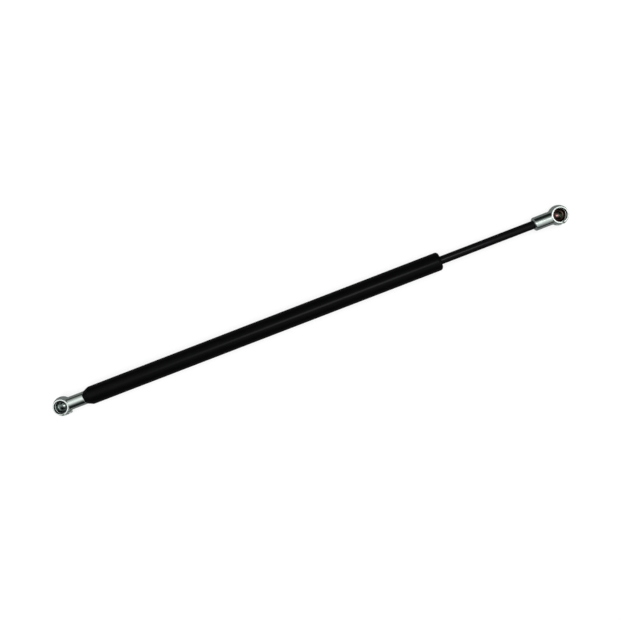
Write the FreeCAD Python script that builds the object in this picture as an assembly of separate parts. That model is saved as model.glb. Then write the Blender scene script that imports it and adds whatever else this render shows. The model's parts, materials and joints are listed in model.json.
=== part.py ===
import FreeCAD, Part
import math
import os

# Gas strut stay, 8 mm rod in an 18 mm cylinder, with a 13 mm ball socket screwed on each end.
# Millimetres. The origin is the centre of the ball seat at the tube end, +X runs along the
# strut towards the rod end, and +Z is the side on which both ball sockets open.
# The strut is drawn fully extended.

# overall lengths
SOCKET_LENGTH = 24.5        # ball centre to the end of the shank
TUBE_LENGTH = 366.0
ROD_EXPOSED = 93.0          # rod between the tube and the rod-end socket

# cylinder tube
TUBE_DIAMETER = 18.0
TUBE_WALL = 1.0
CONE_MOUTH_DIAMETER = 13.2  # small end of the coned, closed end
CONE_LENGTH = 5.4
CONE_WALL = 1.1
SHOULDER_RADIUS = 3.0       # between the cone and the straight tube
CONE_INNER_RADIUS = 1.5
ROLL_RADIUS = 2.8           # outer corner of the rolled-in rod end
LIP_WALL = 1.2
LIP_OPENING = 11.2          # diameter that the rolled lip leaves open
EDGE_ROUND = 0.25

# end plug and its stud
PLUG_LAND_LENGTH = 7.0
STUD_LENGTH = 12.5
THREAD_DIAMETER = 7.8       # crest of the M8 threads on the stud and on the rod
THREAD_CHAMFER = 0.8
O_RING_SECTION = 1.7
O_RING_GROOVE_WIDTH = 2.3

# guide and seal at the rod end
GUIDE_LENGTH = 8.0
GUIDE_NOSE_RECESS = 0.4     # nose of the guide behind the lip's outer face
GUIDE_STEP = 0.5            # guide wall that keeps the bush from leaving outwards
BUSH_LENGTH = 7.0
BUSH_WALL = 0.95
BUSH_SLIT = 0.3
SEAL_LENGTH = 5.0
SEAL_THROAT = 0.5           # seal clear of the rod behind its lip
SEAL_GROOVE_DEPTH = 2.8
BACKING_WASHER_THICKNESS = 1.5
PRESSURE_HOLE_DIAMETER = 1.4
PRESSURE_HOLE_COUNT = 4
RETAINING_RING_THICKNESS = 1.2
RETAINING_RING_DEPTH = 1.2  # how far the ring stands in from the tube's bore
RETAINING_GROOVE_DEPTH = 0.35
RETAINING_RING_GAP = 50.0   # degrees left open

# rod and piston
ROD_DIAMETER = 8.0
SPIGOT_DIAMETER = 6.0
STOP_GAP = 0.3              # front washer to backing washer when extended
FRONT_WASHER_THICKNESS = 1.5
FLOW_DISC_THICKNESS = 0.3
PISTON_LENGTH = 7.4
PISTON_RING_WIDTH = 3.0
PISTON_RING_DEPTH = 1.1
PISTON_RING_FLOAT = 0.2     # ring to groove, on each side
RING_PASSAGE = 0.5          # gas passage under the ring
RING_SLIT = 0.4
REAR_WASHER_THICKNESS = 1.0
RIVET_HEAD_LENGTH = 2.0
RIVET_HEAD_RADIUS = 3.9
FAST_NOTCH_WIDTH = 2.0      # passages in the piston's front land
FAST_NOTCH_COUNT = 4
SLOW_NOTCH_WIDTH = 1.0      # passage in the piston's rear land

# ball sockets
BALL_DIAMETER = 13.0
HEAD_DIAMETER = 19.2
FACE_HEIGHT = 7.0           # flat rim above the socket's centre
FACE_DIAMETER = 15.5        # outside of the flat rim, on a collar that stands up from the head
COLLAR_TAPER = 16.0         # degrees that the collar's side leans out towards its foot
COLLAR_FOOT_HEIGHT = 3.0    # foot of the collar above the socket's centre, inside the head
BACK_FLAT_DEPTH = 0.5       # taken off the back of the head
SHANK_DIAMETER = 13.0
SHANK_CHAMFER = 1.0
NECK_RADIUS = 1.5
RIM_ROUND = 0.2
THREAD_DEPTH = 14.5
THREAD_BORE = 7.9
WIRE_DIAMETER = 1.1
WIRE_HEIGHT = 2.6           # centre of the snap ring above the socket's centre
WIRE_SEAT_OFFSET = 0.15     # wire's centre line outside the ball's radius
WIRE_RING_END = 250.0       # degrees round from the tail where the snap ring ends
TAIL_BEND = 0.75
TAIL_SET_IN = 1.35          # long tail's centre line inside the head's outline
TAIL_HOOK_RADIUS = 0.9
TAIL_HOOK_GAP = 0.3         # end of the hook outside the shank, at the wire's lower side
TAIL_TIP_DEPTH = 0.6        # upturned end of the short tail below the rim
SLOT_WIDTH = 2.4

# clearances
SEAT_CLEARANCE = 0.05       # round pieces seated in the tube, on the spigot or in a bore
RUNNING_CLEARANCE = 0.04    # rod in its bush and seal, piston ring in the tube
PISTON_CLEARANCE = 0.3      # piston body in the tube
BALL_CLEARANCE = 0.025
WIRE_CLEARANCE = 0.1        # snap ring in its groove
NOSE_CLEARANCE = 0.1

# places along the strut
TUBE_START = SOCKET_LENGTH
TUBE_END = TUBE_START + TUBE_LENGTH
ROD_SHANK_FACE = TUBE_END + ROD_EXPOSED
ROD_BALL_CENTRE = ROD_SHANK_FACE + SOCKET_LENGTH
GUIDE_FACE = TUBE_END - LIP_WALL
GUIDE_START = GUIDE_FACE - GUIDE_LENGTH
SEAL_START = GUIDE_START - SEAL_LENGTH
BACKING_START = SEAL_START - BACKING_WASHER_THICKNESS
RETAINING_START = BACKING_START - RETAINING_RING_THICKNESS
FRONT_WASHER_FACE = BACKING_START - STOP_GAP
FLOW_DISC_FACE = FRONT_WASHER_FACE - FRONT_WASHER_THICKNESS
PISTON_FACE = FLOW_DISC_FACE - FLOW_DISC_THICKNESS
PISTON_START = PISTON_FACE - PISTON_LENGTH
RIVET_FACE = PISTON_START - REAR_WASHER_THICKNESS

# radii
TUBE_RADIUS = TUBE_DIAMETER / 2
BORE_RADIUS = TUBE_RADIUS - TUBE_WALL
SEATED_RADIUS = BORE_RADIUS - SEAT_CLEARANCE
ROD_RADIUS = ROD_DIAMETER / 2
THREAD_RADIUS = THREAD_DIAMETER / 2
SPIGOT_RADIUS = SPIGOT_DIAMETER / 2
SPIGOT_BORE = SPIGOT_RADIUS + SEAT_CLEARANCE
ROD_HOLE = ROD_RADIUS + RUNNING_CLEARANCE
BUSH_OUTER = ROD_HOLE + BUSH_WALL
LIP_RADIUS = LIP_OPENING / 2
CONE_MOUTH_RADIUS = CONE_MOUTH_DIAMETER / 2
CONE_SLOPE = (TUBE_RADIUS - CONE_MOUTH_RADIUS) / CONE_LENGTH
CONE_DROP = CONE_WALL * math.hypot(1.0, CONE_SLOPE)
PASSAGE_RADIUS = BORE_RADIUS - RUNNING_CLEARANCE - PISTON_RING_DEPTH - RING_PASSAGE

HEAD_RADIUS = HEAD_DIAMETER / 2
SHANK_RADIUS = SHANK_DIAMETER / 2
BALL_RADIUS = BALL_DIAMETER / 2
WIRE_RING_RADIUS = BALL_RADIUS + WIRE_SEAT_OFFSET
BACK_HEIGHT = HEAD_RADIUS - BACK_FLAT_DEPTH
FACE_RADIUS = FACE_DIAMETER / 2
TAIL_RUN = HEAD_RADIUS - TAIL_SET_IN
TAIL_START = math.sqrt((WIRE_RING_RADIUS + TAIL_BEND) ** 2 - TAIL_BEND ** 2)
WIRE_GROOVE_HALF = WIRE_DIAMETER / 2 + WIRE_CLEARANCE
COLLAR_LEAN = (FACE_HEIGHT - COLLAR_FOOT_HEIGHT) * math.tan(math.radians(COLLAR_TAPER))
NECK_HEIGHT = SHANK_RADIUS + NECK_RADIUS
NECK_PLACE = math.sqrt((HEAD_RADIUS + NECK_RADIUS) ** 2 - NECK_HEIGHT ** 2)

X_AXIS = FreeCAD.Vector(1, 0, 0)
Y_AXIS = FreeCAD.Vector(0, 1, 0)
Z_AXIS = FreeCAD.Vector(0, 0, 1)
ORIGIN = FreeCAD.Vector(0, 0, 0)


def outline_edges(corners):
    """Edges of a closed outline in the XZ plane. A corner is (x, z) or (x, z, radius)."""
    places = [FreeCAD.Vector(c[0], 0, c[1]) for c in corners]
    radii = [c[2] if len(c) > 2 else 0.0 for c in corners]
    starts = []
    ends = []
    arcs = []
    for i, place in enumerate(places):
        back = (places[i - 1] - place).normalize()
        ahead = (places[(i + 1) % len(places)] - place).normalize()
        half = back.getAngle(ahead) / 2
        reach = radii[i] / math.tan(half)
        starts.append(place + back * reach)
        ends.append(place + ahead * reach)
        middle = (back + ahead).normalize()
        arcs.append(place + middle * (radii[i] / math.sin(half) - radii[i]))
    edges = []
    for i, place in enumerate(places):
        if radii[i] > 0:
            edges.append(Part.Arc(starts[i], arcs[i], ends[i]).toShape())
        following = starts[(i + 1) % len(places)]
        if (following - ends[i]).Length > 1e-6:
            edges.append(Part.makeLine(ends[i], following))
    return edges


def turned(corners):
    """Solid of revolution of an outline of (x, radius) corners about the strut's axis."""
    return Part.Face(Part.Wire(outline_edges(corners))).revolve(ORIGIN, X_AXIS, 360)


def ring(start, end, inner, outer, rounding=0.0):
    """Plain ring about the strut's axis, with all four edges rounded alike."""
    places = [(start, inner), (end, inner), (end, outer), (start, outer)]
    return turned([(x, r, rounding) for x, r in places])


def block(x_span, y_span, z_span):
    """Rectangular block between the given pairs of limits."""
    corner = FreeCAD.Vector(x_span[0], y_span[0], z_span[0])
    size = [span[1] - span[0] for span in (x_span, y_span, z_span)]
    return Part.makeBox(size[0], size[1], size[2], corner)


def about_axis(shape, degrees):
    """Copy of a shape turned about the strut's axis."""
    copy = shape.copy()
    copy.rotate(ORIGIN, X_AXIS, degrees)
    return copy


def cylinder_tube():
    """Thin tube, coned at the closed end and rolled in at the rod end."""
    cone_top = TUBE_START + CONE_LENGTH
    cone_inner_mouth = CONE_MOUTH_RADIUS - CONE_DROP
    cone_inner_top = TUBE_START + (BORE_RADIUS - cone_inner_mouth) / CONE_SLOPE
    groove = BORE_RADIUS + RETAINING_GROOVE_DEPTH
    return turned([
        (TUBE_START, CONE_MOUTH_RADIUS, EDGE_ROUND),
        (cone_top, TUBE_RADIUS, SHOULDER_RADIUS),
        (TUBE_END, TUBE_RADIUS, ROLL_RADIUS),
        (TUBE_END, LIP_RADIUS, EDGE_ROUND),
        (GUIDE_FACE, LIP_RADIUS, EDGE_ROUND),
        (GUIDE_FACE, BORE_RADIUS, ROLL_RADIUS - TUBE_WALL),
        (BACKING_START, BORE_RADIUS),
        (BACKING_START, groove),
        (RETAINING_START, groove),
        (RETAINING_START, BORE_RADIUS),
        (cone_inner_top, BORE_RADIUS, CONE_INNER_RADIUS),
        (TUBE_START, cone_inner_mouth),
    ])


def plug_cone_top():
    """Where the plug's cone reaches its full radius, just inside the tube's cone."""
    mouth = CONE_MOUTH_RADIUS - CONE_DROP - SEAT_CLEARANCE
    return TUBE_START + (SEATED_RADIUS - mouth) / CONE_SLOPE


def end_plug():
    """Plug that closes the coned end, turned in one piece with its threaded stud."""
    mouth = CONE_MOUTH_RADIUS - CONE_DROP - SEAT_CLEARANCE
    land_start = plug_cone_top()
    land_end = land_start + PLUG_LAND_LENGTH
    groove_start = land_start + (PLUG_LAND_LENGTH - O_RING_GROOVE_WIDTH) / 2
    groove_end = groove_start + O_RING_GROOVE_WIDTH
    groove_floor = SEATED_RADIUS - O_RING_SECTION - SEAT_CLEARANCE
    stud_tip = TUBE_START - STUD_LENGTH
    return turned([
        (stud_tip, 0.0),
        (stud_tip, THREAD_RADIUS - THREAD_CHAMFER),
        (stud_tip + THREAD_CHAMFER, THREAD_RADIUS),
        (TUBE_START, THREAD_RADIUS),
        (TUBE_START, mouth),
        (land_start, SEATED_RADIUS, CONE_INNER_RADIUS + SEAT_CLEARANCE),
        (groove_start, SEATED_RADIUS),
        (groove_start, groove_floor),
        (groove_end, groove_floor),
        (groove_end, SEATED_RADIUS),
        (land_end, SEATED_RADIUS, EDGE_ROUND),
        (land_end, 0.0),
    ])


def end_plug_o_ring():
    """Round-section seal in the plug's groove, pressed out to the bore."""
    radius = O_RING_SECTION / 2
    centre = plug_cone_top() + PLUG_LAND_LENGTH / 2
    place = FreeCAD.Vector(centre, 0, 0)
    return Part.makeTorus(SEATED_RADIUS - radius, radius, place, X_AXIS)


def rod_guide():
    """Turned guide that the rolled lip holds in the tube, with a nose in the lip's opening."""
    nose_radius = LIP_RADIUS - NOSE_CLEARANCE
    nose_end = TUBE_END - GUIDE_NOSE_RECESS
    nose_bore = BUSH_OUTER - GUIDE_STEP
    bush_end = GUIDE_START + BUSH_LENGTH
    corner = ROLL_RADIUS - TUBE_WALL + SEAT_CLEARANCE
    return turned([
        (GUIDE_START, BUSH_OUTER + SEAT_CLEARANCE),
        (bush_end, BUSH_OUTER + SEAT_CLEARANCE),
        (bush_end, nose_bore),
        (nose_end, nose_bore),
        (nose_end, nose_radius, EDGE_ROUND),
        (GUIDE_FACE, nose_radius),
        (GUIDE_FACE, SEATED_RADIUS, corner),
        (GUIDE_START, SEATED_RADIUS, EDGE_ROUND),
    ])


def guide_bush():
    """Thin wrapped bush that the rod slides in, with its joint left as a narrow slit."""
    bush = ring(GUIDE_START, GUIDE_START + BUSH_LENGTH, ROD_HOLE, BUSH_OUTER, EDGE_ROUND / 2)
    slit = block((GUIDE_START, GUIDE_FACE), (-BUSH_SLIT / 2, BUSH_SLIT / 2), (0, BUSH_OUTER))
    return bush.cut(slit)


def rod_seal():
    """Rubber lip seal: one lip on the rod, one on the tube, with a groove between them."""
    lip_start = SEAL_START + 0.3
    lip_end = SEAL_START + 0.9
    throat_start = SEAL_START + 2.0
    throat = ROD_HOLE + SEAL_THROAT
    middle = (ROD_HOLE + SEATED_RADIUS) / 2
    groove_floor = SEAL_START + SEAL_GROOVE_DEPTH
    return turned([
        (SEAL_START, SEATED_RADIUS),
        (GUIDE_START, SEATED_RADIUS),
        (GUIDE_START, throat),
        (throat_start, throat),
        (lip_end, ROD_HOLE),
        (lip_start, ROD_HOLE),
        (SEAL_START, ROD_HOLE + 0.3),
        (SEAL_START, middle - 0.9),
        (groove_floor, middle - 0.3),
        (groove_floor, middle + 0.3),
        (SEAL_START, middle + 0.9),
    ])


def seal_backing_washer():
    """Washer behind the seal, with holes that let the gas press the seal's lips open."""
    washer = ring(BACKING_START, SEAL_START, ROD_HOLE + PISTON_CLEARANCE, SEATED_RADIUS, 0.2)
    hole_circle = (ROD_RADIUS + BORE_RADIUS) / 2
    for i in range(PRESSURE_HOLE_COUNT):
        place = FreeCAD.Vector(BACKING_START, 0, hole_circle)
        hole = Part.makeCylinder(
            PRESSURE_HOLE_DIAMETER / 2, BACKING_WASHER_THICKNESS, place, X_AXIS)
        washer = washer.cut(about_axis(hole, 45 + i * 360 / PRESSURE_HOLE_COUNT))
    return washer


def seal_retaining_ring():
    """Open spring ring in the tube's inner groove, which keeps the seal stack in place."""
    outer = BORE_RADIUS + RETAINING_GROOVE_DEPTH - SEAT_CLEARANCE
    inner = BORE_RADIUS - RETAINING_RING_DEPTH
    corners = [
        (RETAINING_START, inner),
        (BACKING_START, inner),
        (BACKING_START, outer),
        (RETAINING_START, outer),
    ]
    face = Part.Face(Part.Wire(outline_edges(corners)))
    open_ring = face.revolve(ORIGIN, X_AXIS, 360 - RETAINING_RING_GAP)
    return about_axis(open_ring, RETAINING_RING_GAP / 2)


def piston_rod():
    """Rod with a spigot for the piston, riveted over behind it, and a threaded outer end."""
    rivet_tip = RIVET_FACE - RIVET_HEAD_LENGTH
    thread_tip = ROD_SHANK_FACE + STUD_LENGTH
    return turned([
        (rivet_tip, 0.0),
        (rivet_tip, RIVET_HEAD_RADIUS, RIVET_HEAD_LENGTH * 0.7),
        (RIVET_FACE, RIVET_HEAD_RADIUS),
        (RIVET_FACE, SPIGOT_RADIUS),
        (FRONT_WASHER_FACE, SPIGOT_RADIUS),
        (FRONT_WASHER_FACE, ROD_RADIUS),
        (ROD_SHANK_FACE, ROD_RADIUS),
        (ROD_SHANK_FACE, THREAD_RADIUS),
        (thread_tip - THREAD_CHAMFER, THREAD_RADIUS),
        (thread_tip, THREAD_RADIUS - THREAD_CHAMFER),
        (thread_tip, 0.0),
    ])


def ring_groove():
    """Start and end of the piston's groove, in the middle of the piston."""
    width = PISTON_RING_WIDTH + 2 * PISTON_RING_FLOAT
    start = PISTON_START + (PISTON_LENGTH - width) / 2
    return start, start + width


def piston_body():
    """Piston with a ring groove, wide passages in its front land and a narrow one behind."""
    outer = BORE_RADIUS - PISTON_CLEARANCE
    start, end = ring_groove()
    body = turned([
        (PISTON_START, SPIGOT_BORE),
        (PISTON_FACE, SPIGOT_BORE),
        (PISTON_FACE, outer, EDGE_ROUND),
        (end, outer),
        (end, PASSAGE_RADIUS),
        (start, PASSAGE_RADIUS),
        (start, outer),
        (PISTON_START, outer, EDGE_ROUND),
    ])
    fast = block((end, PISTON_FACE), (-FAST_NOTCH_WIDTH / 2, FAST_NOTCH_WIDTH / 2),
                 (PASSAGE_RADIUS, TUBE_RADIUS))
    slow = block((PISTON_START, start), (-SLOW_NOTCH_WIDTH / 2, SLOW_NOTCH_WIDTH / 2),
                 (PASSAGE_RADIUS, TUBE_RADIUS))
    for i in range(FAST_NOTCH_COUNT):
        body = body.cut(about_axis(fast, i * 360 / FAST_NOTCH_COUNT))
    return body.cut(slow)


def piston_ring():
    """Split ring that floats in the piston's groove and slides on the bore."""
    start, end = ring_groove()
    outer = BORE_RADIUS - RUNNING_CLEARANCE
    start += PISTON_RING_FLOAT
    end -= PISTON_RING_FLOAT
    whole = ring(start, end, outer - PISTON_RING_DEPTH, outer, 0.1)
    slit = block((start, end), (-RING_SLIT / 2, RING_SLIT / 2), (0, TUBE_RADIUS))
    return whole.cut(about_axis(slit, 120))


def piston_front_washer():
    """Thick washer between the rod's shoulder and the flow disc; it stops the extension."""
    outer = PASSAGE_RADIUS - PISTON_CLEARANCE
    return ring(FLOW_DISC_FACE, FRONT_WASHER_FACE, SPIGOT_BORE, outer, 0.2)


def flow_disc():
    """Thin disc clamped on the piston's front face."""
    outer = PASSAGE_RADIUS - PISTON_CLEARANCE / 2
    return ring(PISTON_FACE, FLOW_DISC_FACE, SPIGOT_BORE, outer)


def piston_rear_washer():
    """Washer under the rod's riveted end."""
    return ring(RIVET_FACE, PISTON_START, SPIGOT_BORE, PASSAGE_RADIUS - PISTON_CLEARANCE, 0.2)


def arc_about(centre, start, end):
    """Shorter arc about a centre, between two points that lie equally far from it."""
    middle = ((start - centre).normalize() + (end - centre).normalize()).normalize()
    return Part.Arc(start, centre + middle * (start - centre).Length, end).toShape()


def socket_blank(toward):
    """Ball-turned head with its shank along +X or -X, as toward says, before drilling."""
    neck_centre = FreeCAD.Vector(toward * NECK_PLACE, 0, NECK_HEIGHT)
    on_head = neck_centre * (HEAD_RADIUS / (HEAD_RADIUS + NECK_RADIUS))
    on_shank = FreeCAD.Vector(toward * NECK_PLACE, 0, SHANK_RADIUS)
    chamfer_start = FreeCAD.Vector(toward * (SOCKET_LENGTH - SHANK_CHAMFER), 0, SHANK_RADIUS)
    chamfer_end = FreeCAD.Vector(toward * SOCKET_LENGTH, 0, SHANK_RADIUS - SHANK_CHAMFER)
    end_centre = FreeCAD.Vector(toward * SOCKET_LENGTH, 0, 0)
    far_side = FreeCAD.Vector(-toward * HEAD_RADIUS, 0, 0)
    crown = FreeCAD.Vector(0, 0, HEAD_RADIUS)
    outline = Part.Wire([
        Part.Arc(far_side, crown, on_head).toShape(),
        arc_about(neck_centre, on_head, on_shank),
        Part.makeLine(on_shank, chamfer_start),
        Part.makeLine(chamfer_start, chamfer_end),
        Part.makeLine(chamfer_end, end_centre),
        Part.makeLine(end_centre, far_side),
    ])
    return Part.Face(outline).revolve(ORIGIN, X_AXIS, 360)


def mouth_collar():
    """Tapered collar round the ball's seat, from inside the head up to the flat rim."""
    outline = Part.Wire(outline_edges([
        (0.0, COLLAR_FOOT_HEIGHT),
        (FACE_RADIUS + COLLAR_LEAN, COLLAR_FOOT_HEIGHT),
        (FACE_RADIUS, FACE_HEIGHT, RIM_ROUND),
        (0.0, FACE_HEIGHT),
    ]))
    return Part.Face(outline).revolve(ORIGIN, Z_AXIS, 360)


def ball_seat():
    """Tool for the ball's seat: round bottom, straight bore, eased mouth and wire groove."""
    radius = BALL_RADIUS + BALL_CLEARANCE
    groove_radius = WIRE_RING_RADIUS + WIRE_GROOVE_HALF
    groove_place = FreeCAD.Vector(0, 0, WIRE_HEIGHT - WIRE_GROOVE_HALF)
    mouth_place = FreeCAD.Vector(0, 0, FACE_HEIGHT - RIM_ROUND)
    tool = Part.makeSphere(radius)
    tool = tool.fuse(Part.makeCylinder(radius, HEAD_DIAMETER))
    tool = tool.fuse(Part.makeCylinder(groove_radius, 2 * WIRE_GROOVE_HALF, groove_place))
    return tool.fuse(Part.makeCone(radius, radius + RIM_ROUND, RIM_ROUND, mouth_place))


def thread_hole(toward):
    """Tool for the blind threaded hole in the shank, with a drilled point."""
    radius = THREAD_BORE / 2
    shank_end = FreeCAD.Vector(toward * SOCKET_LENGTH, 0, 0)
    inward = X_AXIS * -toward
    point = shank_end + inward * THREAD_DEPTH
    hole = Part.makeCylinder(radius, THREAD_DEPTH, shank_end, inward)
    return hole.fuse(Part.makeCone(radius, 0, radius * math.tan(math.radians(31)), point, inward))


def ball_socket(toward):
    """Ball socket about its own ball centre: collar, seat, thread, slot and tail groove."""
    reach = HEAD_DIAMETER
    socket = socket_blank(toward).fuse(mouth_collar())
    socket = socket.cut(block((-reach, reach), (-reach, reach), (FACE_HEIGHT, reach)))
    socket = socket.cut(block((-reach, reach), (-reach, reach), (-reach, -BACK_HEIGHT)))
    socket = socket.cut(ball_seat())
    socket = socket.cut(thread_hole(toward))
    floor = WIRE_HEIGHT - WIRE_GROOVE_HALF
    socket = socket.cut(block(
        (-SLOT_WIDTH / 2, SLOT_WIDTH / 2), (-reach, -BALL_RADIUS / 2), (floor, reach)))
    return socket.cut(block(
        sorted((0, toward * reach)), (-reach, WIRE_GROOVE_HALF - TAIL_RUN),
        (floor, floor + 2 * WIRE_GROOVE_HALF)))


def snap_ring(toward, tail):
    """Wire ring in the seat's groove, bent outwards at the slot into the tail that tail gives."""
    bend_centre = FreeCAD.Vector(-toward * TAIL_BEND, -TAIL_START, WIRE_HEIGHT)
    out_start = FreeCAD.Vector(0, -TAIL_START, WIRE_HEIGHT)
    ring_end = math.atan2(-TAIL_START, -TAIL_BEND)
    ring_start = ring_end - math.radians(WIRE_RING_END)
    start, middle, end = [
        FreeCAD.Vector(
            toward * WIRE_RING_RADIUS * math.cos(a), WIRE_RING_RADIUS * math.sin(a), WIRE_HEIGHT)
        for a in (ring_start, (ring_start + ring_end) / 2, ring_end)]
    edges = [Part.Arc(start, middle, end).toShape(), arc_about(bend_centre, end, out_start)]
    along = FreeCAD.Vector(-toward * math.sin(ring_start), math.cos(ring_start), 0)
    section = Part.Wire(Part.makeCircle(WIRE_DIAMETER / 2, start, along))
    return Part.Wire(edges + tail(toward, out_start)).makePipeShell([section], True, False)


def hooked_tail(toward, out_start):
    """Edges of a tail that runs out of the slot, along the head and round the neck."""

    def spot(x, y):
        return FreeCAD.Vector(toward * x, y, WIRE_HEIGHT)

    hook_place = NECK_PLACE - TAIL_HOOK_RADIUS
    wire_side = WIRE_HEIGHT - WIRE_DIAMETER / 2
    hook_end = TAIL_HOOK_GAP + math.sqrt(SHANK_RADIUS ** 2 - wire_side ** 2)
    turn_start = spot(0, TAIL_BEND - TAIL_RUN)
    turn_end = spot(TAIL_BEND, -TAIL_RUN)
    hook_start = spot(hook_place, -TAIL_RUN)
    hook_turned = spot(NECK_PLACE, TAIL_HOOK_RADIUS - TAIL_RUN)
    return [
        Part.makeLine(out_start, turn_start),
        arc_about(spot(TAIL_BEND, TAIL_BEND - TAIL_RUN), turn_start, turn_end),
        Part.makeLine(turn_end, hook_start),
        arc_about(spot(hook_place, TAIL_HOOK_RADIUS - TAIL_RUN), hook_start, hook_turned),
        Part.makeLine(hook_turned, spot(NECK_PLACE, -hook_end)),
    ]


def upturned_tail(toward, out_start):
    """Edges of a short tail that turns up in the slot, outside the seat and below the rim."""
    bend_centre = out_start + Z_AXIS * TAIL_BEND
    bend_end = bend_centre - Y_AXIS * TAIL_BEND
    tip = FreeCAD.Vector(bend_end.x, bend_end.y, FACE_HEIGHT - TAIL_TIP_DEPTH)
    return [arc_about(bend_centre, out_start, bend_end), Part.makeLine(bend_end, tip)]


def at_rod_end(shape):
    """The same shape, moved to the rod-end socket's place."""
    return shape.translated(FreeCAD.Vector(ROD_BALL_CENTRE, 0, 0))


def all_nodes():
    """Every piece of the strut by its node's name."""
    return {
        "cylinder_tube": cylinder_tube(),
        "end_plug": end_plug(),
        "end_plug_o_ring": end_plug_o_ring(),
        "rod_guide": rod_guide(),
        "guide_bush": guide_bush(),
        "rod_seal": rod_seal(),
        "seal_backing_washer": seal_backing_washer(),
        "seal_retaining_ring": seal_retaining_ring(),
        "piston_rod": piston_rod(),
        "piston_body": piston_body(),
        "piston_ring": piston_ring(),
        "piston_front_washer": piston_front_washer(),
        "flow_disc": flow_disc(),
        "piston_rear_washer": piston_rear_washer(),
        "socket_tube_end": ball_socket(1),
        "snap_ring_tube_end": snap_ring(1, hooked_tail),
        "socket_rod_end": at_rod_end(ball_socket(-1)),
        "snap_ring_rod_end": at_rod_end(snap_ring(-1, upturned_tail)),
    }


os.makedirs("parts", exist_ok=True)
for name, shape in all_nodes().items():
    shape.exportStep("parts/" + name + ".step")
    box = shape.BoundBox
    print(name, shape.isValid(), len(shape.Solids), round(shape.Volume, 2),
          [round(v, 2) for v in (box.XMin, box.XMax, box.YMin, box.YMax, box.ZMin, box.ZMax)])
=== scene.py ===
import json
import math

import bmesh
import bpy
from mathutils import Matrix, Vector


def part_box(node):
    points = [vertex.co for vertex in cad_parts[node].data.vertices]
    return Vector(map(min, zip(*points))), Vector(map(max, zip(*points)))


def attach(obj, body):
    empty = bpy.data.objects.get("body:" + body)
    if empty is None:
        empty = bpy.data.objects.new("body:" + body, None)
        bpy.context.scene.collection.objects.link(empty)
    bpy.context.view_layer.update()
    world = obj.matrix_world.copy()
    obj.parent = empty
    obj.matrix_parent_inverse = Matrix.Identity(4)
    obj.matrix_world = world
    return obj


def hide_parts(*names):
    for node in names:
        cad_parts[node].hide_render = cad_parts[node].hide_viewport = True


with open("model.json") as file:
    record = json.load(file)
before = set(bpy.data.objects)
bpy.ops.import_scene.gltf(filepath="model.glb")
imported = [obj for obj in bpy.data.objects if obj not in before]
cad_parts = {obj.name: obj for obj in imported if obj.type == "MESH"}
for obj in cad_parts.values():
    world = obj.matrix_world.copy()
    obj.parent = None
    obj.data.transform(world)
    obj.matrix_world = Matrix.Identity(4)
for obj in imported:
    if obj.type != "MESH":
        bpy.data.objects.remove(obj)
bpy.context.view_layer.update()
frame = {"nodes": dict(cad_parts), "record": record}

MM = 0.001

# Places along the strut, read from the frame
tube_low, tube_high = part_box("cylinder_tube")
rod_low, rod_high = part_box("piston_rod")
near_head_low, near_head_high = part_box("socket_tube_end")
far_head_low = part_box("socket_rod_end")[0]
head_radius = near_head_high.y
back_height = near_head_low.z
socket_length = tube_low.x
rod_end_centre = Vector((far_head_low.x + socket_length, 0, 0))
rim_height = near_head_high.z

# Sizes of the tube that its box doesn't give
CONE_MOUTH_RADIUS = 6.6 * MM
CONE_LENGTH = 5.4 * MM
CONE_SHOULDER = 3.0 * MM
CONE_WALL = 1.2 * MM
CONE_INNER_SHIFT = 0.45 * MM          # how much later the cone starts inside than outside
TUBE_WALL = 1.0 * MM
ROLL_RADIUS = 2.8 * MM
LIP_WALL = 1.2 * MM
LIP_OPENING_RADIUS = 5.6 * MM
RETAINING_GROOVE_RADIUS = 8.35 * MM
SMALL_ROUND = 0.25 * MM

# Sizes of the rod that its box doesn't give
SPIGOT_RADIUS = 3.0 * MM
RIVET_HEAD_RADIUS = 3.9 * MM
RIVET_ROUND = 1.4 * MM
THREAD_RADIUS = 3.9 * MM
THREAD_CHAMFER = 0.8 * MM

# Sizes of the ball sockets that their boxes don't give
SHANK_RADIUS = 6.5 * MM
SHANK_CHAMFER = 1.0 * MM
NECK_RADIUS = 1.5 * MM
THREAD_BORE_RADIUS = 3.95 * MM
THREAD_BORE_DEPTH = 14.5 * MM
THREAD_COUNTERSINK = 0.5 * MM
DRILL_POINT_ANGLE = math.radians(31)  # of the bore's pointed end, from a flat one
FACE_RADIUS = 7.75 * MM
COLLAR_FOOT_HEIGHT = 3.0 * MM
COLLAR_TAPER = math.radians(16)
BALL_SEAT_RADIUS = 6.525 * MM
WIRE_HEIGHT = 2.6 * MM
WIRE_GROOVE_HALF_WIDTH = 0.65 * MM
WIRE_GROOVE_RADIUS = 7.3 * MM
TAIL_GROOVE_DEPTH = 2.0 * MM
SLOT_HALF_WIDTH = 1.2 * MM
EDGE_BREAK = 0.12 * MM
RIM_BITE = 0.1 * MM                   # the head ends this far under the rim, inside the collar

# Fineness of the meshes
TUBE_SEGMENTS = 160
ROD_SEGMENTS = 96
SOCKET_SEGMENTS = 144
SHANK_RINGS = 30
MERGE_DISTANCE = 1e-7
CUT_DISTANCE = 1e-8
WIRE_MERGE_DISTANCE = 2e-6
CREASE = 30                           # degrees; sharper edges aren't shaded smooth
COLLAR_CREASE = 9                     # under the 12 degrees between the collar and the head
WIRE_CREASE = 40

# Grease film in the ball seats, partly real grease and partly painted shade and painted
# reflection
FILM_EDGE = (BALL_SEAT_RADIUS + 0.1 * MM, BALL_SEAT_RADIUS + 0.2 * MM)
FILM_TOP = (rim_height - 0.5 * MM, rim_height - 0.2 * MM)
FILM_REFLECTION_SIDE = (-4.0 * MM, -1.5 * MM)    # across the seat, from the far side's colour to the other: painted reflection, one side of the seat lighter than the other
FILM_REFLECTION_LOW = (-3.5 * MM, -1.5 * MM)     # up the seat, from the near-shank colour to the other: painted reflection
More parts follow.
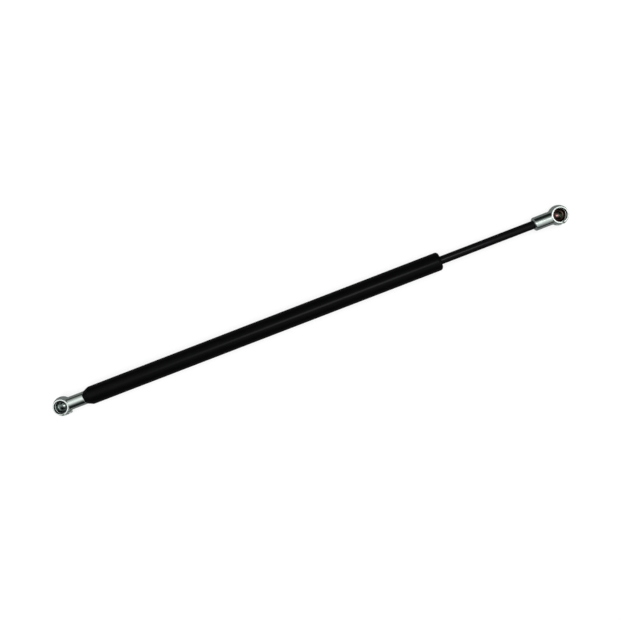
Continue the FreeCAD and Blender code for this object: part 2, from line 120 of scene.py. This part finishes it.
# Painted highlight: the flat rim on top is painted lighter between these heights
RIM_PAINTED_HIGHLIGHT = (rim_height - 0.06 * MM, rim_height - 0.03 * MM)


# ---------------------------------------------------------------- shader maths


class Wire:
    """An output socket that adds Math nodes when it is used in arithmetic."""

    def __init__(self, graph, socket):
        self.graph = graph
        self.socket = socket

    def __add__(self, other):
        return self.graph.calculated("ADD", self, other)

    def __radd__(self, other):
        return self.graph.calculated("ADD", other, self)

    def __sub__(self, other):
        return self.graph.calculated("SUBTRACT", self, other)

    def __rsub__(self, other):
        return self.graph.calculated("SUBTRACT", other, self)

    def __mul__(self, other):
        return self.graph.calculated("MULTIPLY", self, other)

    def __pow__(self, other):
        return self.graph.calculated("POWER", self, other)


class Graph:
    """The nodes of a material or a world, and the ways to add to them."""

    def __init__(self, owner):
        owner.use_nodes = True
        self.nodes = owner.node_tree.nodes
        self.links = owner.node_tree.links

    def node(self, kind, settings, inputs, output=0):
        """Adds a node, with its settings first and then the values or links of its sockets."""
        made = self.nodes.new(kind)
        for setting, value in settings.items():
            setattr(made, setting, value)
        for socket, value in inputs.items():
            self.feed(made.inputs[socket], value)
        return Wire(self, made.outputs[output])

    def calculated(self, operation, first, second):
        """The result of a Math node."""
        return self.node("ShaderNodeMath", {"operation": operation}, {0: first, 1: second})

    def feed(self, socket, value):
        """Links a wire to a socket, or sets a constant there."""
        if isinstance(value, Wire):
            self.links.new(value.socket, socket)
        else:
            socket.default_value = value

    def split(self, vector):
        """The x, y and z of a vector."""
        parts = self.nodes.new("ShaderNodeSeparateXYZ")
        self.feed(parts.inputs[0], vector)
        return [Wire(self, out) for out in parts.outputs]

    def stretched(self, vector, scale):
        """A place scaled along each axis, to draw out the noise read from it."""
        return self.node("ShaderNodeMapping", {}, {"Vector": vector, "Scale": scale})

    def noise(self, vector, scale, detail):
        return self.node("ShaderNodeTexNoise", {}, {
            "Vector": vector, "Scale": scale, "Detail": detail})

    def ramp(self, value, low, high):
        """0 below low, 1 above high, and smooth between."""
        return self.node("ShaderNodeMapRange", {"interpolation_type": "SMOOTHSTEP"}, {
            "Value": value, "From Min": low, "From Max": high})

    def stops(self, value, stops):
        """A level read from (place, level) stops, smooth between them."""
        made = self.nodes.new("ShaderNodeValToRGB")
        made.color_ramp.interpolation = "EASE"
        elements = made.color_ramp.elements
        while len(elements) < len(stops):
            elements.new(0.5)
        for element, (place, level) in zip(elements, stops):
            element.position = place
            element.color = grey(level)
        self.feed(made.inputs[0], value)
        return Wire(self, made.outputs[0])

    def blend(self, share, first, second):
        """Mixes two colours."""
        mix = self.nodes.new("ShaderNodeMix")
        mix.data_type = "RGBA"
        colour_inputs = [socket for socket in mix.inputs if socket.type == "RGBA"]
        self.feed(mix.inputs[0], share)
        self.feed(colour_inputs[0], first)
        self.feed(colour_inputs[1], second)
        return Wire(self, [socket for socket in mix.outputs if socket.type == "RGBA"][0])


class Shader(Graph):
    """One material and its Principled shader."""

    def __init__(self, name, constants):
        self.material = bpy.data.materials.new(name)
        super().__init__(self.material)
        self.surface = self.nodes["Principled BSDF"]
        for socket, value in constants.items():
            self.surface.inputs[socket].default_value = value

    def set(self, socket, value):
        """Feeds one socket of the surface."""
        self.feed(self.surface.inputs[socket], value)

    def place(self):
        """The point on the piece, in metres in the strut's own frame."""
        return self.node("ShaderNodeTexCoord", {}, {}, output="Object")

    def bump(self, height, distance):
        self.set("Normal", self.node("ShaderNodeBump", {}, {
            "Height": height, "Distance": distance}))


def grey(level):
    return (level, level, level, 1)


# ------------------------------------------------------------------- materials


def black_paint():
    """Satin black paint: faint orange peel, soft haze, and a few dust specks."""
    s = Shader("satin_black_paint", {"Specular IOR Level": 0.05})
    place = s.place()
    haze = s.noise(s.stretched(place, (0.25, 1, 1)), 260, 3)
    peel = s.noise(place, 1500, 2)
    speck = s.ramp(s.noise(place, 2600, 1), 0.74, 0.80)
    scuff = s.ramp(s.noise(s.stretched(place, (0.12, 1, 1)), 1700, 3), 0.62, 0.75)
    colour = s.blend(haze, (0.0014, 0.0015, 0.0015, 1), (0.0032, 0.0033, 0.0033, 1))
    s.set("Base Color", s.blend(speck * 0.25 + scuff * 0.06, colour, grey(0.06)))
    s.set("Roughness", 0.14 + haze * 0.08 + scuff * 0.08)
    s.bump(peel, 0.005 * MM)
    return s.material


def black_nitride():
    """Ground and nitrided rod: near black, smooth, with very fine rings round it."""
    s = Shader("black_nitrided_rod", {"Specular IOR Level": 0.10})
    place = s.place()
    rings = s.noise(s.stretched(place, (1, 0.02, 0.02)), 9000, 2)
    haze = s.noise(place, 400, 3)
    s.set("Base Color", s.blend(haze, (0.0025, 0.0027, 0.0028, 1), (0.0055, 0.0056, 0.006, 1)))
    s.set("Roughness", 0.10 + rings * 0.05 + haze * 0.05)
    s.bump(rings, 0.001 * MM)
    return s.material


def seat_film_and_painted_reflection(s, place, centre, toward, near_shank, far_side):
    """Where a ball seat's grease film lies, and its colour: partly grease, partly painted shade
    of the hollow, with painted reflections that change it across the seat.
    """
    x, y, z = s.split(place)
    across = x - centre.x
    depth = s.calculated("MINIMUM", z, 0.0)
    radius = (across * across + y * y + depth * depth) ** 0.5
    inside = 1 - s.ramp(radius, *FILM_EDGE)
    below_rim = 1 - s.ramp(z, *FILM_TOP)
    patches = s.ramp(s.noise(place, 420, 3), 0.40, 0.60)
    # Painted reflection: the colour turns from the far side's to the near-shank side's across
    # the seat and low down in it
    side = s.ramp(across * toward, *FILM_REFLECTION_SIDE)
    low = 1 - s.ramp(z, *FILM_REFLECTION_LOW)
    colour = s.blend(side * low, far_side, near_shank)
    # Dark patches: partly grease, partly painted shade of the hollow seat
    dark_grease_and_shade = (0.035, 0.045, 0.038, 1)
    return inside * below_rim, s.blend(patches * 0.7 + 0.3, dark_grease_and_shade, colour)


def zinc_plate(name, centre, toward, near_shank, far_side):
    """Bright zinc plate on turned steel, with old grease, painted shade and painted reflections
    in the seat, and a painted highlight on the flat rim.
    """
    s = Shader(name, {"Metallic": 1.0})
    place = s.place()
    clouds = s.noise(place, 420, 3)
    turned = s.noise(s.stretched(place, (1, 0.03, 0.03)), 7000, 2)
    fine = s.noise(place, 5200, 2)
    # The seat's colour: grease with painted shade and painted reflection
    inside, film = seat_film_and_painted_reflection(s, place, centre, toward, near_shank, far_side)
    # Painted highlight: the rim's flat top face gets a lighter plate colour
    rim = s.ramp(s.split(place)[2], *RIM_PAINTED_HIGHLIGHT)
    plate = s.blend(clouds, (0.62, 0.685, 0.66, 1), (0.75, 0.82, 0.79, 1))
    plate = s.blend(rim, plate, (0.83, 0.88, 0.86, 1))
    s.set("Base Color", s.blend(inside, plate, film))
    s.set("Roughness", 0.12 + clouds * 0.07 + turned * 0.04 - inside * 0.06)
    s.bump(turned * 0.7 + fine * 0.3, 0.002 * MM)
    return s.material


def spring_wire():
    """Bright drawn spring steel."""
    s = Shader("drawn_spring_steel", {"Metallic": 1.0})
    place = s.place()
    clouds = s.noise(place, 900, 3)
    fine = s.noise(place, 6000, 2)
    s.set("Base Color", s.blend(clouds, (0.50, 0.52, 0.51, 1), (0.68, 0.69, 0.68, 1)))
    s.set("Roughness", 0.20 + clouds * 0.14)
    s.bump(fine, 0.002 * MM)
    return s.material


def turned_metal(name, dark, light, roughness):
    """Metal fresh from the lathe, with tool marks round the strut's axis."""
    s = Shader(name, {"Metallic": 1.0})
    place = s.place()
    marks = s.noise(s.stretched(place, (1, 0.05, 0.05)), 5000, 3)
    clouds = s.noise(place, 500, 2)
    s.set("Base Color", s.blend(clouds, dark, light))
    s.set("Roughness", roughness + marks * 0.12)
    s.bump(marks, 0.004 * MM)
    return s.material


def moulded(name, dark, light, roughness, grain):
    """Rubber or sliding plastic, matt, with a fine moulded grain."""
    s = Shader(name, {"Specular IOR Level": 0.35})
    place = s.place()
    clouds = s.noise(place, 700, 3)
    skin = s.noise(place, grain, 2)
    s.set("Base Color", s.blend(clouds, dark, light))
    s.set("Roughness", roughness + skin * 0.15)
    s.bump(skin, 0.006 * MM)
    return s.material


def all_finishes():
    """Every finish by its slot in the record, and one more for the rod end's seat, greasy and
    with painted reflection.
    """
    return {
        "black_paint": black_paint(),
        "black_nitride": black_nitride(),
        # Tube end: darker by the shank and lighter on the far side, a painted reflection
        "zinc_plate": zinc_plate(
            "bright_zinc_plate", Vector((0, 0, 0)), 1,
            (0.27, 0.305, 0.295, 1), (0.58, 0.635, 0.615, 1)),
        # Rod end: red-brown grease by the shank and grey-green on the far side; the split
        # between them is painted reflection
        "zinc_plate_greasy_painted_reflection": zinc_plate(
            "bright_zinc_plate_greasy_seat_painted_reflection", rod_end_centre, -1,
            (0.21, 0.105, 0.105, 1), (0.27, 0.33, 0.265, 1)),
        "spring_steel": spring_wire(),
        "bare_steel": turned_metal(
            "turned_bare_steel", (0.36, 0.36, 0.37, 1), (0.50, 0.50, 0.51, 1), 0.28),
        "guide_alloy": turned_metal(
            "turned_light_alloy", (0.58, 0.59, 0.60, 1), (0.72, 0.73, 0.74, 1), 0.30),
        "bush_bronze": turned_metal(
            "bronze_bush", (0.36, 0.23, 0.10, 1), (0.50, 0.34, 0.16, 1), 0.35),
        "seal_rubber": moulded(
            "black_seal_rubber", (0.012, 0.012, 0.012, 1), (0.022, 0.022, 0.022, 1), 0.55, 3000),
        "ring_plastic": moulded(
            "filled_sliding_plastic", (0.07, 0.06, 0.05, 1), (0.11, 0.10, 0.09, 1), 0.45, 4000),
    }


# ------------------------------------------------------------------ fine pieces


def rounded(corners, steps=6):
    """Points of an outline of (x, z) or (x, z, rounding) corners, with each corner rounded."""
    points = []
    for i, corner in enumerate(corners):
        here = Vector(corner[:2])
        if len(corner) < 3:
            points.append(here)
            continue
        rounding = corner[2]
        back = (Vector(corners[i - 1][:2]) - here).normalized()
        ahead = (Vector(corners[(i + 1) % len(corners)][:2]) - here).normalized()
        half = back.angle(ahead) / 2
        centre = here + (back + ahead).normalized() * rounding / math.sin(half)
        start = here + back * rounding / math.tan(half) - centre
        end = here + ahead * rounding / math.tan(half) - centre
        turn = start.angle_signed(end)
        for step in range(steps + 1):
            points.append(centre + turned_by(start, -turn * step / steps))
    return points


def turned_by(spoke, angle):
    """A flat vector turned by an angle."""
    cos, sin = math.cos(angle), math.sin(angle)
    return Vector((spoke.x * cos - spoke.y * sin, spoke.x * sin + spoke.y * cos))


def arc(centre, radius, start_degrees, end_degrees, steps):
    """Points along an arc in the XZ plane, with its angles measured from +X towards +Z."""
    points = []
    for step in range(steps + 1):
        angle = math.radians(start_degrees + (end_degrees - start_degrees) * step / steps)
        points.append(Vector(centre) + Vector((math.cos(angle), math.sin(angle))) * radius)
    return points


def spun(outline, axis, segments, closed=False):
    """Turns an outline in the XZ plane about an axis through the origin, into a closed shell."""
    bm = bmesh.new()
    verts = [bm.verts.new((p.x, 0, p.y)) for p in outline]
    pairs = list(zip(verts, verts[1:]))
    if closed:
        pairs.append((verts[-1], verts[0]))
    edges = [bm.edges.new(pair) for pair in pairs]
    bmesh.ops.spin(
        bm, geom=verts + edges, cent=(0, 0, 0), axis=axis, angle=math.tau,
        steps=segments, use_merge=True)
    bmesh.ops.remove_doubles(bm, verts=bm.verts, dist=MERGE_DISTANCE)
    bmesh.ops.recalc_face_normals(bm, faces=bm.faces)
    return bm


def in_scene(name, bm, crease_degrees=CREASE):
    """Puts a bmesh in the scene, smooth except at creases sharper than the angle given."""
    mesh = bpy.data.meshes.new(name)
    bm.to_mesh(mesh)
    bm.free()
    mesh.shade_smooth()
    mesh.set_sharp_from_angle(angle=math.radians(crease_degrees))
    piece = bpy.data.objects.new(name, mesh)
    bpy.context.scene.collection.objects.link(piece)
    return piece


def planed(bm, place, normal):
    """Cuts away what lies past a plane and closes the cut."""
    cut = bmesh.ops.bisect_plane(
        bm, geom=bm.verts[:] + bm.edges[:] + bm.faces[:], plane_co=place, plane_no=normal,
        clear_outer=True, dist=CUT_DISTANCE)
    rim = [item for item in cut["geom_cut"] if isinstance(item, bmesh.types.BMEdge)]
    bmesh.ops.contextual_create(bm, geom=rim)


def combined(bm, steps):
    """Joins or cuts a bmesh with others, in the order of the (operation, bmesh) steps."""
    body = in_scene("work_body", bm)
    tools = []
    for operation, tool_bm in steps:
        tool = in_scene("work_tool", tool_bm)
        modifier = body.modifiers.new("work", "BOOLEAN")
        modifier.operation = operation
        modifier.solver = "EXACT"
        modifier.object = tool
        tools.append(tool)
    result = bmesh.new()
    result.from_object(body, bpy.context.evaluated_depsgraph_get())
    for scrap in [body] + tools:
        mesh = scrap.data
        bpy.data.objects.remove(scrap)
        bpy.data.meshes.remove(mesh)
    bmesh.ops.remove_doubles(result, verts=result.verts, dist=MERGE_DISTANCE)
    return result


def dress(piece, body, slot_name, node, finish_name=None):
    """Gives a new piece the finish of its slot, or the finish named, puts it under its body, and
    hides the CAD node that it stands for.
    """
    piece.data.materials.append(finishes[finish_name or slot_name])
    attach(piece, body)
    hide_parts(node)


def tube_shell():
    """Cylinder tube with its coned end, its rolled-in lip and its inner ring groove."""
    start, end, radius = tube_low.x, tube_high.x, tube_high.y
    bore = radius - TUBE_WALL
    ring_low, ring_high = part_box("seal_retaining_ring")
    outline = rounded([
        (start, CONE_MOUTH_RADIUS, SMALL_ROUND),
        (start + CONE_LENGTH, radius, CONE_SHOULDER),
        (end, radius, ROLL_RADIUS),
        (end, LIP_OPENING_RADIUS, SMALL_ROUND),
        (end - LIP_WALL, LIP_OPENING_RADIUS, SMALL_ROUND),
        (end - LIP_WALL, bore, ROLL_RADIUS - TUBE_WALL),
        (ring_high.x, bore),
        (ring_high.x, RETAINING_GROOVE_RADIUS),
        (ring_low.x, RETAINING_GROOVE_RADIUS),
        (ring_low.x, bore),
        (start + CONE_LENGTH + CONE_INNER_SHIFT, bore, CONE_SHOULDER - TUBE_WALL),
        (start, CONE_MOUTH_RADIUS - CONE_WALL),
    ], 10)
    return in_scene("tube_shell", spun(outline, (1, 0, 0), TUBE_SEGMENTS, closed=True))


def rod_bar():
    """Rod, with the spigot and the riveted head at its inner end and its threaded outer end."""
    radius = rod_high.y
    thread_start = rod_end_centre.x - socket_length
    rivet_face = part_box("piston_rear_washer")[0].x
    spigot_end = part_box("piston_front_washer")[1].x
    outline = rounded([
        (rod_low.x, 0),
        (rod_low.x, RIVET_HEAD_RADIUS, RIVET_ROUND),
        (rivet_face, RIVET_HEAD_RADIUS),
        (rivet_face, SPIGOT_RADIUS),
        (spigot_end, SPIGOT_RADIUS),
        (spigot_end, radius, EDGE_BREAK),
        (thread_start, radius, EDGE_BREAK),
        (thread_start, THREAD_RADIUS),
        (rod_high.x - THREAD_CHAMFER, THREAD_RADIUS),
        (rod_high.x, THREAD_RADIUS - THREAD_CHAMFER),
        (rod_high.x, 0),
    ])
    return in_scene("rod_bar", spun(outline, (1, 0, 0), ROD_SEGMENTS))


def socket_blank():
    """Ball-turned head, neck, shank and threaded bore, with the shank along +X."""
    neck_height = SHANK_RADIUS + NECK_RADIUS
    neck_place = math.sqrt((head_radius + NECK_RADIUS) ** 2 - neck_height ** 2)
    neck_angle = math.degrees(math.atan2(neck_height, neck_place))
    head = arc((0, 0), head_radius, 180, neck_angle, 60)
    neck = arc((neck_place, neck_height), NECK_RADIUS, neck_angle + 180, 270, 8)
    chamfer_start = socket_length - SHANK_CHAMFER
    shank_end = chamfer_start - EDGE_BREAK * 2
    shank = [
        Vector((neck_place + (shank_end - neck_place) * i / SHANK_RINGS, SHANK_RADIUS))
        for i in range(1, SHANK_RINGS)]
    bore_end = socket_length - THREAD_BORE_DEPTH
    back = rounded([
        (shank_end, SHANK_RADIUS),
        (chamfer_start, SHANK_RADIUS, EDGE_BREAK),
        (socket_length, SHANK_RADIUS - SHANK_CHAMFER, EDGE_BREAK),
        (socket_length, THREAD_BORE_RADIUS + THREAD_COUNTERSINK, EDGE_BREAK),
        (socket_length - THREAD_COUNTERSINK, THREAD_BORE_RADIUS),
        (bore_end, THREAD_BORE_RADIUS),
        (bore_end - THREAD_BORE_RADIUS * math.tan(DRILL_POINT_ANGLE), 0),
    ], 4)
    return spun(head + neck[1:] + shank + back, (1, 0, 0), SOCKET_SEGMENTS)


def mouth_collar():
    """Tapered collar from inside the head up to the flat rim."""
    lean = (rim_height - COLLAR_FOOT_HEIGHT) * math.tan(COLLAR_TAPER)
    outline = rounded([
        (0, COLLAR_FOOT_HEIGHT),
        (FACE_RADIUS + lean, COLLAR_FOOT_HEIGHT),
        (FACE_RADIUS, rim_height, EDGE_BREAK),
        (0, rim_height),
    ], 4)
    return spun(outline, (0, 0, 1), SOCKET_SEGMENTS)


def seat_tool():
    """Round bottom, straight bore, wire groove and eased mouth of the ball seat."""
    groove_low = WIRE_HEIGHT - WIRE_GROOVE_HALF_WIDTH
    groove_high = WIRE_HEIGHT + WIRE_GROOVE_HALF_WIDTH
    bottom = arc((0, 0), BALL_SEAT_RADIUS, -90, 0, 40)
    above = rounded([
        (BALL_SEAT_RADIUS, groove_low),
        (WIRE_GROOVE_RADIUS, groove_low),
        (WIRE_GROOVE_RADIUS, groove_high),
        (BALL_SEAT_RADIUS, groove_high),
        (BALL_SEAT_RADIUS, rim_height - SMALL_ROUND, EDGE_BREAK),
        (BALL_SEAT_RADIUS + 2 * SMALL_ROUND, rim_height + SMALL_ROUND),
        (0, rim_height + SMALL_ROUND),
    ], 4)
    return spun(bottom + above, (0, 0, 1), SOCKET_SEGMENTS)


def block_tool(low, high):
    """Rectangular block between two corners."""
    bm = bmesh.new()
    bmesh.ops.create_cube(bm, size=1)
    bmesh.ops.scale(bm, verts=bm.verts, vec=high - low)
    bmesh.ops.translate(bm, verts=bm.verts, vec=(high + low) / 2)
    return bm


def slot_tool():
    """Block that opens the rim towards -Y for the wire's tail, from the wire groove up."""
    floor = WIRE_HEIGHT - WIRE_GROOVE_HALF_WIDTH
    return block_tool(
        Vector((-SLOT_HALF_WIDTH, -2 * head_radius, floor)),
        Vector((SLOT_HALF_WIDTH, -BALL_SEAT_RADIUS / 2, floor + head_radius)))


def tail_groove_tool():
    """Block that cuts the groove in the head's side, in which the tail lies."""
    return block_tool(
        Vector((0, -2 * head_radius, WIRE_HEIGHT - WIRE_GROOVE_HALF_WIDTH)),
        Vector((2 * head_radius, TAIL_GROOVE_DEPTH - head_radius,
                WIRE_HEIGHT + WIRE_GROOVE_HALF_WIDTH)))


def ball_socket(name, toward, centre):
    """Ball socket with its shank towards +X when toward is 1, and towards -X when it is -1."""
    blank = socket_blank()
    planed(blank, (0, 0, rim_height - RIM_BITE), (0, 0, 1))
    planed(blank, (0, 0, back_height), (0, 0, -1))
    bm = combined(blank, [
        ("UNION", mouth_collar()),
        ("DIFFERENCE", seat_tool()),
        ("DIFFERENCE", slot_tool()),
        ("DIFFERENCE", tail_groove_tool()),
    ])
    bmesh.ops.scale(bm, verts=bm.verts, vec=(toward, 1, 1))
    bmesh.ops.translate(bm, verts=bm.verts, vec=centre)
    bmesh.ops.recalc_face_normals(bm, faces=bm.faces)
    many_sided = [face for face in bm.faces if len(face.verts) > 4]
    bmesh.ops.triangulate(bm, faces=many_sided, ngon_method="BEAUTY")
    return in_scene(name, bm, COLLAR_CREASE)


def wire_clip(name, node):
    """Snap ring: the CAD wire with its facets merged and shaded smooth."""
    bm = bmesh.new()
    bm.from_mesh(frame["nodes"][node].data)
    bmesh.ops.remove_doubles(bm, verts=bm.verts, dist=WIRE_MERGE_DISTANCE)
    return in_scene(name, bm, WIRE_CREASE)


# ------------------------------------------------------------------------ stage

VIEW_DISTANCE = 680 * MM
VIEW_CENTRE = Vector((258.3 * MM, 0.77 * MM, 0))
STRUT_LEAN = math.radians(2.77)       # rod end nearer the camera
STRUT_ROLL = math.radians(3.12)       # sockets' mouths turned towards -Y
STRUT_SLOPE = math.radians(21.09)     # rod end up across the picture
FOCAL_SHARE = 1.147097                # focal length over the picture's width
SENSOR_WIDTH = 36.0
NEAREST_SEEN = 0.01

# Light tent: its levels by direction, with stops from 0 on one side of the sky to 1 on the other
PANEL_TURN = math.radians(27)         # of the panel's long side from the strut
PANEL_STOPS = [
    (0.08, 0.0), (0.13, 0.05), (0.21, 0.26), (0.30, 0.56), (0.40, 0.88), (0.5, 1.04),
    (0.60, 0.88), (0.70, 0.52), (0.79, 0.20), (0.87, 0.02), (0.92, 0.0)]
PANEL_FALL = 0.2                      # how much dimmer the panel is towards the rod end
STRIP_LEVEL = 6.5
STRIP_STOPS = [(0.40, 0.0), (0.527, 1.0), (0.65, 0.0)]
STRIP_START = (-0.37, 0.10)           # towards the tube end
STRIP_END = (0.16, 0.26)              # towards the rod end
SKY_EDGE = (0.10, 0.45)               # how high panel and strip begin
GROUND_EDGE = (-0.12, 0.0)            # how low the ground's glow begins
GROUND_LEVEL = 0.20
DARK_LEVEL = 0.006
GREEN_CAST = 0.005
GREEN_SHARE = 1.01

# Floor, backdrop and the two soft lamps
FLOOR_HALF_SIDE = 3.0
FLOOR_GREY = 0.28
FLOOR_GLOW = 0.76
BACKDROP_RADIUS = 8.0
LAMP_TARGET = (0.25, 0, 0)
LAMP_DIAMETER = 1.0
LAMP_POWER = 6


def add_camera():
    """Camera above the strut, looking down on the sockets' mouths."""
    lean_cos, lean_sin = math.cos(STRUT_LEAN), math.sin(STRUT_LEAN)
    roll_cos, roll_sin = math.cos(STRUT_ROLL), math.sin(STRUT_ROLL)
    along = Vector((lean_cos, -roll_sin * lean_sin, -roll_cos * lean_sin))
    up = Vector((0, roll_cos, -roll_sin))
    towards = Vector((lean_sin, roll_sin * lean_cos, roll_cos * lean_cos))
    slope_cos, slope_sin = math.cos(STRUT_SLOPE), math.sin(STRUT_SLOPE)
    picture_right = along * slope_cos - up * slope_sin
    picture_up = along * slope_sin + up * slope_cos
    data = bpy.data.cameras.new("camera")
    data.sensor_width = SENSOR_WIDTH
    data.lens = SENSOR_WIDTH * FOCAL_SHARE
    data.clip_start = NEAREST_SEEN
    camera = bpy.data.objects.new("camera", data)
    camera.matrix_world = matrix_of(
        picture_right, picture_up, towards, VIEW_CENTRE + towards * VIEW_DISTANCE)
    bpy.context.scene.collection.objects.link(camera)
    bpy.context.scene.camera = camera


def matrix_of(right, up, back, place):
    """The pose of something at a place, from its three axes."""
    columns = Matrix((right, up, back)).transposed().to_4x4()
    columns.translation = place
    return columns


def add_floor():
    """Plain pale sheet under the strut."""
    bm = bmesh.new()
    bmesh.ops.create_grid(bm, x_segments=1, y_segments=1, size=FLOOR_HALF_SIDE)
    bmesh.ops.translate(bm, verts=bm.verts, vec=(rod_end_centre.x / 2, 0, back_height))
    floor = in_scene("floor", bm)
    s = Shader("pale_floor", {
        "Roughness": 0.9, "Specular IOR Level": 0.0, "Emission Color": grey(1.0),
        "Emission Strength": FLOOR_GLOW})
    s.set("Base Color", grey(FLOOR_GREY))
    floor.data.materials.append(s.material)
    floor.visible_glossy = False


def add_backdrop():
    """Plain pale dome far round the strut, which only the camera sees."""
    bm = bmesh.new()
    bmesh.ops.create_uvsphere(bm, u_segments=64, v_segments=32, radius=BACKDROP_RADIUS)
    backdrop = in_scene("backdrop", bm)
    s = Shader("pale_backdrop", {
        "Roughness": 1.0, "Specular IOR Level": 0.0, "Emission Color": grey(1.0),
        "Emission Strength": 1.0})
    s.set("Base Color", grey(0.0))
    backdrop.data.materials.append(s.material)
    backdrop.visible_glossy = False
    backdrop.visible_diffuse = False
    backdrop.visible_transmission = False
    backdrop.visible_shadow = False


def add_lamp(name, place):
    """Round soft lamp that faces the strut and isn't mirrored in it."""
    data = bpy.data.lights.new(name, "AREA")
    data.shape = "DISK"
    data.size = LAMP_DIAMETER
    data.energy = LAMP_POWER
    lamp = bpy.data.objects.new(name, data)
    facing = Vector(LAMP_TARGET) - Vector(place)
    lamp.location = place
    lamp.rotation_euler = facing.to_track_quat("-Z", "Y").to_euler()
    lamp.visible_glossy = False
    bpy.context.scene.collection.objects.link(lamp)


def add_world():
    """Wide soft panel overhead, a little across the strut, and a strip lamp in line with it."""
    world = bpy.data.worlds.new("light_tent")
    bpy.context.scene.world = world
    s = Graph(world)
    direction = s.node("ShaderNodeTexCoord", {}, {}, output="Generated")
    across = (math.sin(PANEL_TURN), math.cos(PANEL_TURN), 0)
    offset = s.node("ShaderNodeVectorMath", {"operation": "DOT_PRODUCT"}, {
        0: direction, 1: across}, output="Value")
    along, aside, height = s.split(direction)
    panel = s.stops(offset * 0.5 + 0.5, PANEL_STOPS) * (1 - along * PANEL_FALL)
    strip_length = s.ramp(along, *STRIP_START) * (1 - s.ramp(along, *STRIP_END))
    strip = s.stops(aside * 0.5 + 0.5, STRIP_STOPS) * strip_length * STRIP_LEVEL
    above = s.ramp(height, *SKY_EDGE)
    ground = (1 - s.ramp(height, *GROUND_EDGE)) * GROUND_LEVEL
    level = (panel + strip) * above + ground + DARK_LEVEL
    shade = s.node("ShaderNodeCombineXYZ", {}, {
        0: level, 1: level * GREEN_SHARE + GREEN_CAST, 2: level + GREEN_CAST / 2})
    s.feed(s.nodes["Background"].inputs["Color"], shade)


def finish_cad_nodes():
    """Gives every CAD node the finish of its slot in the record."""
    slot_of = {part["node"]: part["material_slot"] for part in frame["record"]["subparts"]}
    for node_name, node_object in frame["nodes"].items():
        node_object.data.materials.clear()
        node_object.data.materials.append(finishes[slot_of[node_name]])


def add_pieces():
    """The fine pieces: tube, rod, and a ball socket and a wire clip on each end."""
    dress(tube_shell(), "cylinder", "black_paint", "cylinder_tube")
    dress(rod_bar(), "rod", "black_nitride", "piston_rod")
    for end, body, toward, centre, plating in (
            ("tube_end", "cylinder", 1, Vector((0, 0, 0)), "zinc_plate"),
            ("rod_end", "rod", -1, rod_end_centre, "zinc_plate_greasy_painted_reflection")):
        socket = ball_socket("ball_socket_" + end, toward, centre)
        dress(socket, body, "zinc_plate", "socket_" + end, plating)
        clip = wire_clip("wire_clip_" + end, "snap_ring_" + end)
        dress(clip, body, "spring_steel", "snap_ring_" + end)


def add_stage():
    """Camera, floor, backdrop and light."""
    add_camera()
    add_floor()
    add_backdrop()
    add_world()
    add_lamp("left_panel", (-0.5, -0.6, 1.2))
    add_lamp("right_panel", (1.0, 0.6, 1.2))
    bpy.context.scene.view_settings.view_transform = "Standard"


finishes = all_finishes()
finish_cad_nodes()
add_pieces()
add_stage()
